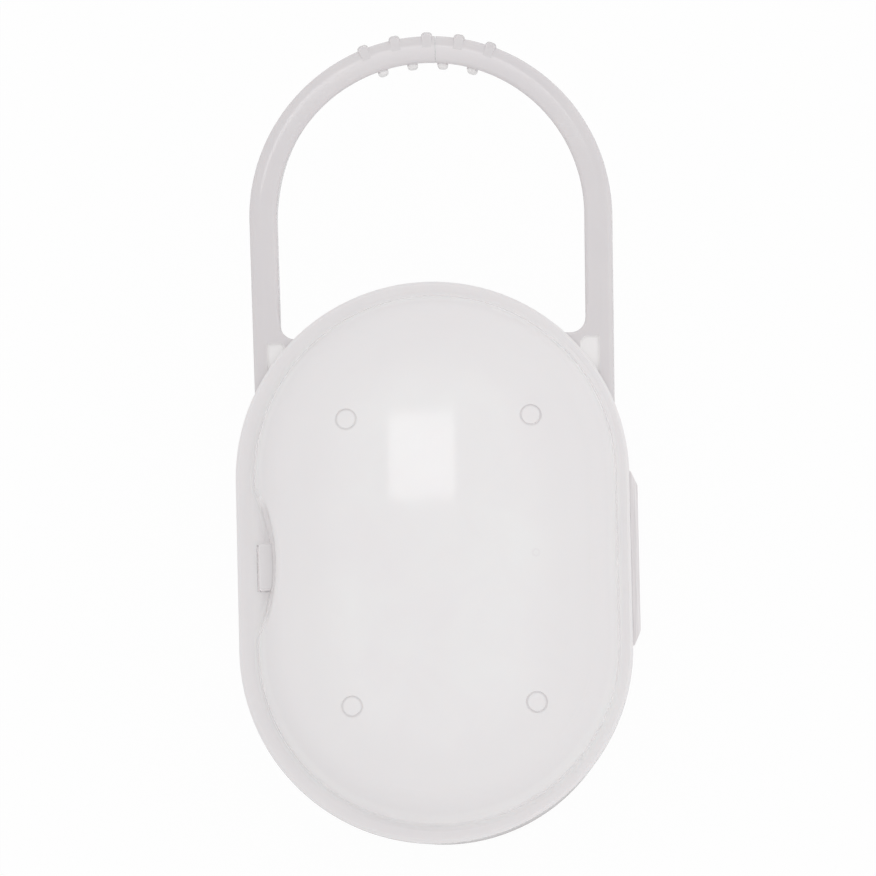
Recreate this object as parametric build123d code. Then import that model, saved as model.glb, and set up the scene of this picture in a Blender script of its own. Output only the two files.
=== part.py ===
from build123d import *
import math
import os

# Pacifier sterilizer case, injection moulded in polypropylene, in millimetres.
# The case lies on the flat floor of its base. +Z goes up through the lid, +Y points to the hanger,
# the living hinge is at +X and the snap catch at -X. The origin lies on the resting plane, under the
# centre of the rim's outline.

# Rim: a flat obround band round the mouth of each shell
rim_radius = 35.2
rim_straight = 30.7
lid_rim_thickness = 1.8
base_rim_thickness = 1.8
base_rim_inset = 0.2
rim_edge_break = 0.45

# Shells: the tub and the dome stand inside the rim, set a little towards the hinge
wall = 1.6
rim_ledge = 2.6
rim_corner_round = 0.9
dome_shift_x = 0.55
dome_shift_y = 0.1
base_height = 33.0
base_draft = 0.5
base_floor = 2.0
base_bottom_round = 5.0
lid_height = 13.0
lid_draft = 5.0
lid_shoulder_round = 6.0
crown_radius_across = 120.0
crown_radius_along = 320.0

# Witness rings that the four ejector pins leave on the lid
ring_diameter = 3.9
ring_width = 0.35
ring_depth = 0.25
ring_pitch_across = 33.0
ring_pitch_along = 51.6
ring_shift_x = 1.0
ring_shift_y = -0.95

# Locating lip under the lid
lip_depth = 1.8
lip_thickness = 1.1
lip_clearance = 0.3

# Steam vents: shallow channels across the base's rim at the hanger end, with notches in the lip
vent_width = 3.0
vent_depth = 0.4
vent_angles = (72, 108)

# Thumb scoop in the lid's wall
scoop_radius = 33.0
scoop_depth = 2.8
scoop_draft = 9.0
scoop_y = 0.1
scoop_edge_round = 1.2

# Snap catch: a tongue of the base that stands through the lid's rim. Its head follows the scoop's wall,
# and its barb hooks over a sill at the wall's foot.
catch_width = 8.0
catch_thickness = 1.5
catch_root_depth = 7.0
catch_rise = 3.1
catch_y = -0.4
catch_clearance = 0.15
catch_side_clearance = 0.2
catch_travel = 0.4
catch_head_round = 0.4
catch_housing_wall = 0.9
catch_sill = 0.6
barb_reach = 0.3
barb_height = 1.0
barb_slope = 0.4
barb_clearance = 0.1

# Living hinge: a film that loops outwards between the two rims, a little longer than their straight side
hinge_overrun = 0.6
hinge_loop_diameter = 1.3
hinge_clearance = 0.1
hinge_film = 0.35
hinge_end_length = 2.6
hinge_end_width = 1.2
hinge_mouth = 0.5

# Hanger: a hoop on two straight arms, parted by a seam beside its top
hanger_shift_x = 0.62
hoop_inset = 2.75
hoop_rise = 12.15
hoop_width = 4.9
hoop_thickness = 6.5
hoop_outer_round = 1.8
hoop_inner_round = 0.8
arm_lean = 0.6
arm_root_length = 6.5
seam_offset = 1.5
seam_gap = 0.12

# Feet of the hanger, moulded on the base, each cored out from both faces to a thin web
foot_shelf_drop = 9.55
foot_fillet = 2.6
foot_edge_break = 0.5
foot_reach = 9.5
foot_leg = 2.45
foot_web = 1.2
foot_sink = 0.1
pocket_wall = 0.7
pocket_depth = 1.2
pocket_width = 3.5
pocket_corner = 0.9

# Grip ribs round the top of the hoop
outer_rib_count = 5
outer_rib_pitch = 10.35
outer_rib_width = 2.0
outer_rib_proud = 0.65
outer_rib_face_proud = 0.2
outer_rib_reach = 3.2
inner_rib_count = 4
inner_rib_pitch = 11.2
inner_rib_width = 1.6
inner_rib_proud = 0.9
inner_rib_length = 4.5
rib_sink = 0.6
rib_tip_round = 0.7
rib_edge_break = 0.3

# Inside of the base
support_rib_count = 3
support_rib_pitch = 16.0
support_rib_length = 44.0
support_rib_width = 1.4
support_rib_height = 2.2
fill_line_height = 11.0
fill_line_width = 0.8
fill_line_proud = 0.3

# Levels and places that follow from the sizes above
parting_z = base_height
lid_rim_top = parting_z + lid_rim_thickness
base_rim_bottom = parting_z - base_rim_thickness
rim_end_y = rim_straight / 2 + rim_radius
dome_radius = rim_radius - rim_ledge
dome_centre = (dome_shift_x, dome_shift_y)
hinge_length = rim_straight + hinge_overrun
hinge_axis_x = rim_radius + hinge_clearance + hinge_loop_diameter / 2
scoop_foot_x = dome_shift_x - dome_radius + scoop_depth
scoop_half_span = catch_width / 2 + catch_side_clearance + abs(catch_y - scoop_y)
scoop_sag = scoop_radius - math.sqrt(scoop_radius**2 - scoop_half_span**2)
catch_inner_x = scoop_foot_x - scoop_sag - catch_clearance
catch_outer_x = catch_inner_x - catch_thickness
catch_root_z = parting_z - catch_root_depth
catch_half_slot = catch_width / 2 + catch_side_clearance
hoop_centre_y = rim_end_y + hoop_rise
hoop_outer_radius = rim_radius - hoop_inset
hoop_middle_radius = hoop_outer_radius - hoop_width / 2
hoop_inner_radius = hoop_outer_radius - hoop_width
hoop_bottom_z = parting_z - hoop_thickness
hoop_middle_z = parting_z - hoop_thickness / 2
arm_foot_y = rim_straight / 2
foot_shelf_y = rim_end_y - foot_shelf_drop
arm_split_y = foot_shelf_y + arm_root_length
seam_x = hanger_shift_x + seam_offset


def obround(radius, centre=(0, 0)):
    """The outline that both shells share, with its long side along Y."""
    return Pos(*centre) * SlotCenterToCenter(rim_straight, 2 * radius, rotation=90)


def block(x_low, x_high, y_low, y_high, z_low, z_high):
    """A box between two corners."""
    size = Box(x_high - x_low, y_high - y_low, z_high - z_low)
    return Pos((x_low + x_high) / 2, (y_low + y_high) / 2, (z_low + z_high) / 2) * size


def top_edges(solid, level):
    """The edges that lie wholly above a level."""
    return solid.edges().filter_by(lambda edge: min(v.Z for v in edge.vertices()) > level)


def crown(inset):
    """A solid under a surface that is gently arched along and across the lid."""
    top = parting_z + lid_height - inset
    along = crown_radius_along - inset
    across = crown_radius_across - inset
    half = rim_radius + rim_straight
    drop = along - math.sqrt(along**2 - half**2)
    low = parting_z - lid_height
    arc = ThreePointArc((-half, top - drop), (0, top), (half, top - drop))
    sides = Polyline((half, top - drop), (half, low), (-half, low), (-half, top - drop))
    profile = make_face(Plane.YZ * (arc + sides))
    reach = math.degrees(math.asin(2 * dome_radius / across))
    axis = Axis((0, 0, top - across), (0, 1, 0))
    swung = revolve(profile.rotate(axis, -reach), axis, 2 * reach)
    return Pos(*dome_centre, 0) * swung


def dome(inset):
    """The lid's dome without its rim, shrunk by the wall for its inside."""
    foot = Plane.XY.offset(parting_z) * obround(dome_radius - inset, dome_centre)
    body = extrude(foot, lid_height, taper=lid_draft) & crown(inset)
    rounding = lid_shoulder_round - inset
    return fillet(top_edges(body, lid_rim_top), rounding)


def scoop(growth, low):
    """A drafted cylinder that hollows the dome's wall for a thumb, grown by the wall for its inside."""
    narrowing = (lid_rim_top - low) * math.tan(math.radians(scoop_draft))
    centre = Pos(scoop_foot_x - scoop_radius, scoop_y, low)
    shape = centre * Circle(scoop_radius + growth - narrowing)
    return extrude(shape, 2 * lid_height, taper=-scoop_draft)


def ejector_rings():
    """Cutters for the four rings, which follow the arched lid at an even depth."""
    ring = Circle(ring_diameter / 2) - Circle(ring_diameter / 2 - ring_width)
    cutters = Part()
    centre = Pos(dome_shift_x + ring_shift_x, dome_shift_y + ring_shift_y, lid_rim_top)
    for place in GridLocations(ring_pitch_across, ring_pitch_along, 2, 2):
        cutters += extrude(centre * place * ring, lid_height)
    return cutters - crown(ring_depth)


def vents(depth):
    """Bars across the mouth of the case at the hanger end, for channels and notches alike."""
    bars = Part()
    for angle in vent_angles:
        middle = Pos(0, rim_straight / 2, parting_z) * Rot(0, 0, angle)
        bars += middle * block(rim_radius / 2, 2 * rim_radius, -vent_width / 2, vent_width / 2, -depth, 0)
    return bars


def catch_slot(x_high, z_low, z_high):
    """The opening that the catch stands and moves in, from its outer travel to a given side."""
    x_low = catch_outer_x - catch_travel
    return block(x_low, x_high, catch_y - catch_half_slot, catch_y + catch_half_slot, z_low, z_high)


def lip():
    """A thin band under the lid that finds its place inside the base's mouth."""
    inner = obround(dome_radius - wall - lip_clearance - lip_thickness, dome_centre)
    hanging = obround(dome_radius - wall - lip_clearance, dome_centre) - inner
    rooted = obround(dome_radius - wall / 2, dome_centre) - inner
    band = extrude(Plane.XY.offset(parting_z - lip_depth) * hanging, lip_depth)
    root = extrude(Plane.XY.offset(parting_z) * rooted, lid_rim_thickness)
    room = catch_side_clearance + catch_half_slot
    gap = block(-rim_radius, 0, catch_y - room, catch_y + room, parting_z - lip_depth, parting_z)
    return band - gap - vents(lip_depth) + root


def is_rim_corner(edge):
    """Whether an edge runs where the dome rises from the rim's top."""
    low = min(vertex.Z for vertex in edge.vertices())
    high = max(vertex.Z for vertex in edge.vertices())
    middle = edge.position_at(0.5)
    inside_y = rim_straight / 2 + rim_radius - rim_ledge / 2
    inside_rim = abs(middle.X) < rim_radius - rim_ledge / 4 and abs(middle.Y) < inside_y
    return inside_rim and abs(low - lid_rim_top) < rim_edge_break / 4 and abs(high - low) < rim_edge_break / 4


def lid_shell():
    """The lid: rim, crowned dome, thumb scoop, catch window, ejector rings and locating lip."""
    rim = extrude(Plane.XY.offset(parting_z) * obround(rim_radius), lid_rim_thickness)
    rim = chamfer(rim.faces().sort_by(Axis.Z)[-1].edges(), rim_edge_break)
    hollowed = dome(0) - scoop(0, lid_rim_top)
    scoop_wall = hollowed.faces().filter_by(GeomType.CONE).sort_by_distance((scoop_foot_x, scoop_y, lid_rim_top))[0]
    hollowed = fillet(top_edges(scoop_wall, lid_rim_top), scoop_edge_round)
    outside = rim + hollowed
    corner = outside.edges().filter_by(is_rim_corner)
    outside = fillet(corner, rim_corner_round)
    inside = dome(wall) - scoop(wall, parting_z)
    window = catch_slot(scoop_foot_x + wall, parting_z, lid_rim_top + catch_rise) & scoop(0, parting_z)
    window += catch_slot(catch_inner_x + catch_clearance, parting_z, lid_rim_top)
    sill_top = lid_rim_top + catch_sill
    hook_room = catch_slot(
        scoop_foot_x + barb_reach + catch_clearance,
        sill_top,
        sill_top + barb_height + barb_slope + 2 * barb_clearance,
    )
    return outside - inside + lip() - window - hook_room - ejector_rings()


def tub(inset, low):
    """The base's drafted tub down to a level, shrunk by the wall for its inside."""
    mouth = Plane.XY.offset(parting_z) * obround(dome_radius - inset, dome_centre)
    body = extrude(mouth, parting_z - low, dir=(0, 0, -1), taper=base_draft)
    return fillet(body.faces().sort_by(Axis.Z)[0].edges(), base_bottom_round - inset)


def hanger_bar():
    """The hanger's bar in one: a rounded section led up one arm, round the hoop and down the other."""
    lean = math.radians(arm_lean)
    low = hoop_centre_y - arm_foot_y
    end_x = hoop_middle_radius * math.cos(lean)
    end_y = -hoop_middle_radius * math.sin(lean)
    run = (low + end_y) / math.cos(lean)
    foot_x = end_x - run * math.sin(lean)
    arc = ThreePointArc((end_x, end_y), (0, hoop_middle_radius), (-end_x, end_y))
    path = Polyline((foot_x, -low), (end_x, end_y)) + arc + Polyline((-end_x, end_y), (-foot_x, -low))
    section = Rectangle(hoop_width, hoop_thickness)
    outer_corners = section.vertices().filter_by(lambda corner: corner.X > 0)
    section = fillet(outer_corners, hoop_outer_round)
    inner_corners = section.vertices().sort_by(Axis.X)[:2]
    section = fillet(inner_corners, hoop_inner_round)
    start = Plane(origin=(foot_x, -low, 0), x_dir=(1, 0, 0), z_dir=(math.sin(lean), math.cos(lean), 0))
    bar = sweep(start * section, path)
    return Pos(hanger_shift_x, hoop_centre_y, hoop_middle_z) * bar


def arm_side(radius, y):
    """How far from the hanger's centre line an arm's side stands, for the hoop radius it runs into."""
    lean = math.radians(arm_lean)
    return (radius + (y - hoop_centre_y) * math.sin(lean)) / math.cos(lean)


def both_sides(shape):
    """A shape beside the right arm together with its mirror image beside the left one."""
    return Pos(hanger_shift_x, 0, 0) * (shape + mirror(shape, about=Plane.YZ))


def foot():
    """The web that widens the right arm down to the rim, with a fillet at its inner corner."""
    inner = arm_side(hoop_inner_radius, foot_shelf_y) + foot_sink
    outer = arm_side(hoop_outer_radius, foot_shelf_y) - foot_leg
    near = hoop_inner_radius - foot_reach
    top = foot_shelf_y + 2 * foot_fillet
    corner = (inner, foot_shelf_y)
    start = Polyline((near, foot_shelf_y), corner, (inner, top), (outer, top))
    finish = Polyline((outer, top), (outer, arm_foot_y), (near, arm_foot_y), (near, foot_shelf_y))
    plan = make_face(start + finish)
    plan = fillet(plan.vertices().sort_by_distance(corner)[0], foot_fillet)
    web = extrude(Plane.XY.offset(hoop_bottom_z) * plan, hoop_thickness)
    shelf = web.edges().filter_by(
        lambda edge: edge.center().Y > foot_shelf_y - foot_fillet
        and edge.center().X < inner + foot_sink
        and abs(edge.start_point().Z - edge.end_point().Z) < foot_sink
    )
    return chamfer(shelf, foot_edge_break)


def pocket():
    """The cutters for the right foot's triangular relief, sunk from both faces towards a thin web."""
    outer = arm_side(hoop_outer_radius, foot_shelf_y) - foot_leg
    inner = outer - pocket_width
    top = foot_shelf_y - pocket_wall
    web_top = parting_z - pocket_depth
    upper = block(inner, outer, arm_foot_y, top, web_top, parting_z)
    lower = block(inner, outer, arm_foot_y, top, hoop_bottom_z, web_top - foot_web)
    corner = (inner, top, hoop_middle_z)
    upper = chamfer(upper.edges().filter_by(Axis.Z).sort_by_distance(corner)[0], pocket_corner)
    lower = chamfer(lower.edges().filter_by(Axis.Z).sort_by_distance(corner)[0], pocket_corner)
    return upper + lower


def feet():
    """Both arms up to where they part from the base, with their webs and pockets."""
    span = hoop_outer_radius + rim_radius
    legs = hanger_bar() & block(-span, span, arm_foot_y, arm_split_y, hoop_bottom_z, parting_z)
    rim = obround(rim_radius - base_rim_inset)
    wells = both_sides(pocket()) - extrude(Plane.XY.offset(hoop_bottom_z) * rim, hoop_thickness)
    return legs + both_sides(foot()) - wells


def catch_housing():
    """The boss on the tub's outside that closes the catch's slot under the rim."""
    wall_x = dome_shift_x - dome_radius + wall
    return block(
        catch_outer_x - catch_travel - catch_housing_wall,
        wall_x,
        catch_y - catch_half_slot - catch_housing_wall,
        catch_y + catch_half_slot + catch_housing_wall,
        catch_root_z - catch_housing_wall,
        parting_z,
    )


def inside_details():
    """The ribs that carry the pacifiers clear of the floor, and the raised fill line on the wall."""
    details = Part()
    for place in GridLocations(support_rib_pitch, 1, support_rib_count, 1):
        rib = Box(
            support_rib_width,
            support_rib_length,
            support_rib_height + base_floor / 2,
            align=(Align.CENTER, Align.CENTER, Align.MIN),
        )
        details += Pos(*dome_centre, base_floor / 2) * place * rib
    inner_radius = dome_radius - wall - (parting_z - fill_line_height) * math.tan(math.radians(base_draft))
    band = obround(inner_radius + wall / 2, dome_centre) - obround(inner_radius - fill_line_proud, dome_centre)
    return details + extrude(Plane.XY.offset(fill_line_height) * band, fill_line_width)


def base_shell():
    """The base: rim, drafted tub, hanger feet, catch slot, steam vents, support ribs and fill line."""
    rim = extrude(Plane.XY.offset(base_rim_bottom) * obround(rim_radius - base_rim_inset), base_rim_thickness)
    rim = chamfer(rim.faces().sort_by(Axis.Z)[0].edges(), rim_edge_break)
    outside = rim + tub(0, 0) + feet() + catch_housing()
    slot = catch_slot(catch_inner_x + barb_reach, catch_root_z, parting_z)
    return outside - tub(wall, base_floor) - slot - vents(vent_depth) + inside_details()


def catch_tongue():
    """The springy tongue: a straight stem, a head that follows the scoop's wall, and a barb."""
    head_z = lid_rim_top + catch_rise
    half = catch_width / 2
    stem = block(catch_outer_x, catch_inner_x, catch_y - half, catch_y + half, catch_root_z, lid_rim_top)
    inner_x = scoop_foot_x + wall
    head = block(catch_outer_x, inner_x, catch_y - half, catch_y + half, lid_rim_top, head_z)
    head = head & scoop(-catch_clearance, lid_rim_top)
    head = fillet(head.faces().sort_by(Axis.Z)[-1].edges(), catch_head_round)
    barb_x = scoop_foot_x + barb_reach
    barb_z = lid_rim_top + catch_sill + barb_clearance
    side = Polyline(
        (catch_outer_x, barb_z),
        (barb_x, barb_z),
        (barb_x, barb_z + barb_height),
        (barb_x - barb_reach, barb_z + barb_height + barb_slope),
        (catch_outer_x, barb_z + barb_height + barb_slope),
        close=True,
    )
    barb = Pos(0, catch_y, 0) * extrude(Plane.XZ * make_face(side), half, both=True)
    return stem + head + barb


def living_hinge():
    """The hinge film: a loop open towards the rims, with a leg that runs into the base's rim."""
    loop = Circle(hinge_loop_diameter / 2) - Circle(hinge_loop_diameter / 2 - hinge_film)
    mouth = Pos(-hinge_loop_diameter / 2, 0) * Rectangle(hinge_loop_diameter, hinge_mouth)
    leg_from = rim_radius - base_rim_inset - hinge_axis_x
    leg_to = -hinge_loop_diameter / 2 + hinge_film
    leg = Pos((leg_from + leg_to) / 2, -hinge_mouth / 2 - hinge_film / 2)
    section = loop - mouth + leg * Rectangle(leg_to - leg_from, hinge_film)
    film = extrude(Plane.XZ * section, hinge_length / 2, both=True)
    near = leg_from
    far = hinge_loop_diameter / 2
    half = hinge_length / 2
    plan = Polygon(
        (near, -half),
        (far - hinge_end_width, -half),
        (far, hinge_end_length - half),
        (far, half - hinge_end_length),
        (far - hinge_end_width, half),
        (near, half),
        align=None,
    )
    film = film & extrude(plan, hinge_loop_diameter, both=True)
    return Pos(hinge_axis_x, 0, parting_z) * film


def grip_rib(angle, radius_low, radius_high, width, length, tip_outwards):
    """One rib of the hoop, lying along a radius, with a rounded tip and broken edges."""
    middle = (radius_low + radius_high) / 2
    plan = Rectangle(radius_high - radius_low, width)
    corners = plan.vertices().sort_by(Axis.X)
    tip = corners[2:] if tip_outwards else corners[:2]
    rib = extrude(fillet(tip, rib_tip_round), length / 2, both=True)
    faces = rib.faces().sort_by(Axis.Z)
    rib = chamfer(faces[0].edges() + faces[-1].edges(), rib_edge_break)
    hoop = Pos(hanger_shift_x, hoop_centre_y, hoop_middle_z)
    return hoop * Rot(0, 0, angle) * Pos(middle, 0, 0) * rib


def grip_ribs(right):
    """The ribs of one half of the hanger: the right half takes those beyond the seam."""
    ribs = Part()
    outer_length = hoop_thickness + 2 * outer_rib_face_proud
    outer_low = hoop_outer_radius - outer_rib_reach
    outer_high = hoop_outer_radius + outer_rib_proud
    for number in range(outer_rib_count):
        turn = (number - (outer_rib_count - 1) / 2) * outer_rib_pitch
        if (turn < 0) == right:
            ribs += grip_rib(90 + turn, outer_low, outer_high, outer_rib_width, outer_length, True)
    inner_low = hoop_inner_radius - inner_rib_proud
    inner_high = hoop_inner_radius + rib_sink
    for number in range(inner_rib_count):
        turn = (number - (inner_rib_count - 1) / 2) * inner_rib_pitch
        if (turn < 0) == right:
            ribs += grip_rib(90 + turn, inner_low, inner_high, inner_rib_width, inner_rib_length, False)
    return ribs


def hanger_arm(right):
    """One half of the hanger above its foot, up to the seam beside the top."""
    far = hoop_centre_y + 2 * hoop_outer_radius
    reach = 2 * hoop_outer_radius
    if right:
        half = block(seam_x + seam_gap / 2, reach, arm_split_y, far, hoop_bottom_z, parting_z)
    else:
        half = block(-reach, seam_x - seam_gap / 2, arm_split_y, far, hoop_bottom_z, parting_z)
    return (hanger_bar() & half) + grip_ribs(right)


nodes = {
    "lid_shell": lid_shell(),
    "base_shell": base_shell(),
    "living_hinge": living_hinge(),
    "catch_tongue": catch_tongue(),
    "hanger_arm_left": hanger_arm(False),
    "hanger_arm_right": hanger_arm(True),
}
os.makedirs("parts", exist_ok=True)
for name, shape in nodes.items():
    export_step(shape, f"parts/{name}.step")
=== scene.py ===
"""Looks of a pacifier sterilizer case: a milky clamshell with a living hinge and a split hanger."""

import logging
import math
from collections.abc import Callable
from dataclasses import dataclass
from enum import Enum

import bmesh
import bpy
from mathutils import Matrix, Vector


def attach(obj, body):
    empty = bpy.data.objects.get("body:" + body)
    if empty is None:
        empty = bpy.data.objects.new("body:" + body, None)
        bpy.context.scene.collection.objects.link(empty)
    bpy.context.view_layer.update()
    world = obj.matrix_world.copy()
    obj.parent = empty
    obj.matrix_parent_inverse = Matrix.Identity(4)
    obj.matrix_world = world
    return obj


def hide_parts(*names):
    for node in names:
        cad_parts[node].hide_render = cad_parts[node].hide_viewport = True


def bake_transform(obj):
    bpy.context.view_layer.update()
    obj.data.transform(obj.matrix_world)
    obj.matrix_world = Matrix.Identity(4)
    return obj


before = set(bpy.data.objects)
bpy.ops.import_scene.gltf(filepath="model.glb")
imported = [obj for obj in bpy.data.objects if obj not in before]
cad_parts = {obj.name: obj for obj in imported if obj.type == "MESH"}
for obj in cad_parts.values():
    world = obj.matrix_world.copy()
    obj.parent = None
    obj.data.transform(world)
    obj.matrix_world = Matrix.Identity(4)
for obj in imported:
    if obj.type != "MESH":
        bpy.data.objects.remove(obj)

LOG = logging.getLogger("case")
MM = 0.001  # one millimetre in scene units
HAIR = 0.01  # lengths in millimetres that differ by less than this are equal
POLYPROPYLENE_IOR = 1.49
POLYPROPYLENE_REACH = (1.0, 0.92, 0.88)  # red light travels a little further in it than blue
# colour of the painted glow: emission that lightens thin walls and dark gaps where shade falls
PAINTED_GLOW_COLOUR = "#fdfbfb"
NOISE_LOW, NOISE_HIGH = 0.3, 0.7  # nearly all of a noise's values lie between these
LEVEL = 0.9999  # a face is level where its normal's Z is more than this
SCOOP_AXIS = (-62.25, 0.1, 0.0)  # the axis of the thumb scoop in millimetres

Colour = tuple[float, float, float, float]
Point = tuple[float, float, float]
Tree = bpy.types.NodeTree
Socket = bpy.types.NodeSocket


class Side(Enum):
    """The two halves of the hanger, by the sign of X on their side."""

    LEFT = -1
    RIGHT = 1


def linear(hex_colour: str) -> Colour:
    """Turns an sRGB hex colour into linear light.

    Args:
        hex_colour: "#rrggbb".

    Returns:
        Red, green, blue and full alpha.
    """
    channels = [int(hex_colour[start:start + 2], 16) / 255 for start in (1, 3, 5)]
    red, green, blue = (((c + 0.055) / 1.055) ** 2.4 if c > 0.04045 else c / 12.92 for c in channels)
    return red, green, blue, 1.0


def add_node(
    tree: Tree,
    kind: str,
    settings: dict[str | int, object] | None = None,
    links: dict[str | int, object] | None = None,
) -> bpy.types.Node:
    """Adds a node, sets its options and inputs, and joins inputs to other nodes.

    Args:
        tree: the shader or geometry tree that gets the node.
        kind: the node's type.
        settings: values by option name, or by input name or number where there is no such option.
        links: by input name or number, a field, an output socket, a list of them or a plain number.

    Returns:
        The new node.
    """
    node = tree.nodes.new(kind)
    for key, value in (settings or {}).items():
        if isinstance(key, str) and hasattr(node, key):
            setattr(node, key, value)
        else:
            node.inputs[key].default_value = value
    for key, given in (links or {}).items():
        for source in given if isinstance(given, list) else [given]:
            source = source.socket if isinstance(source, Field) else source
            if isinstance(source, Socket):
                tree.links.new(source, node.inputs[key])
            else:
                node.inputs[key].default_value = source
    return node


class Field:
    """A number that varies over a shape or a surface. Sums of fields add the nodes that work them out."""

    def __init__(self, socket: Socket) -> None:
        """Wraps the output that carries the number."""
        self.socket = socket

    def worked(self, operation: str, other: "Field | Socket | float" = 0.0) -> "Field":
        """Works out one sum.

        Args:
            operation: what is done to this field, in the words of the Math node.
            other: the second number of the sum.

        Returns:
            The result.
        """
        terms = {0: self, 1: other}
        node = add_node(self.socket.id_data, "ShaderNodeMath", {"operation": operation}, terms)
        return Field(node.outputs["Value"])

    def __add__(self, other: "Field | Socket | float") -> "Field":
        """The sum of both."""
        return self.worked("ADD", other)

    def __sub__(self, other: "Field | Socket | float") -> "Field":
        """What is left of this."""
        return self.worked("SUBTRACT", other)

    def __mul__(self, other: "Field | Socket | float") -> "Field":
        """The product of both."""
        return self.worked("MULTIPLY", other)

    def __gt__(self, other: "Field | Socket | float") -> "Field":
        """1 where this is more, or else 0."""
        return self.worked("GREATER_THAN", other)

    def __lt__(self, other: "Field | Socket | float") -> "Field":
        """1 where this is less, or else 0."""
        return self.worked("LESS_THAN", other)

    def __abs__(self) -> "Field":
        """This without its sign."""
        return self.worked("ABSOLUTE")


def set_stops(ramp: bpy.types.Node, stops: list[tuple[float, Colour]]) -> Socket:
    """Gives a colour ramp its stops.

    Args:
        ramp: the Color Ramp node, with its first two stops.
        stops: the places from 0 to 1 and their colours, in order.

    Returns:
        The ramp's colour.
    """
    elements = ramp.color_ramp.elements
    for _ in stops[2:]:
        elements.new(0.5)
    for element, (place, colour) in zip(elements, stops):
        element.position = place
        element.color = colour
    return ramp.outputs["Color"]


def link_object(name: str, data: bpy.types.ID | None) -> bpy.types.Object:
    """Puts a new object into the scene, at the origin.

    Args:
        name: the object's name.
        data: its mesh, light or camera.

    Returns:
        The new object.
    """
    made = bpy.data.objects.new(name, data)
    bpy.context.scene.collection.objects.link(made)
    return made


@dataclass(frozen=True)
class PaintedShadeAndMark:
    """Painted shade and painted lightening, and a moulded mark, laid by the distance from the oblong's spine.

    Each share goes from 0, the shell's own colour, to 1, the colour given here. It fades out before reach_y
    to either side of the middle.
    """

    centre_mm: Point
    straight_mm: float
    colour: str
    shares: tuple[tuple[float, float], ...]
    reach_y_mm: float = 100.0
    fading_share: float = 0.75


@dataclass(frozen=True)
class PaintedGlow:
    """A painted glow: emission in a box in millimetres, painted light on thin walls and in dark gaps.

    On a part whose level faces are thick it is kept to the steep ones, by the Z of their normal.
    """

    middle_mm: Point
    size_mm: Point
    strength: float
    steep_only: bool = True
    steep_z: float = 0.2
    level_z: float = 0.7


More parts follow.
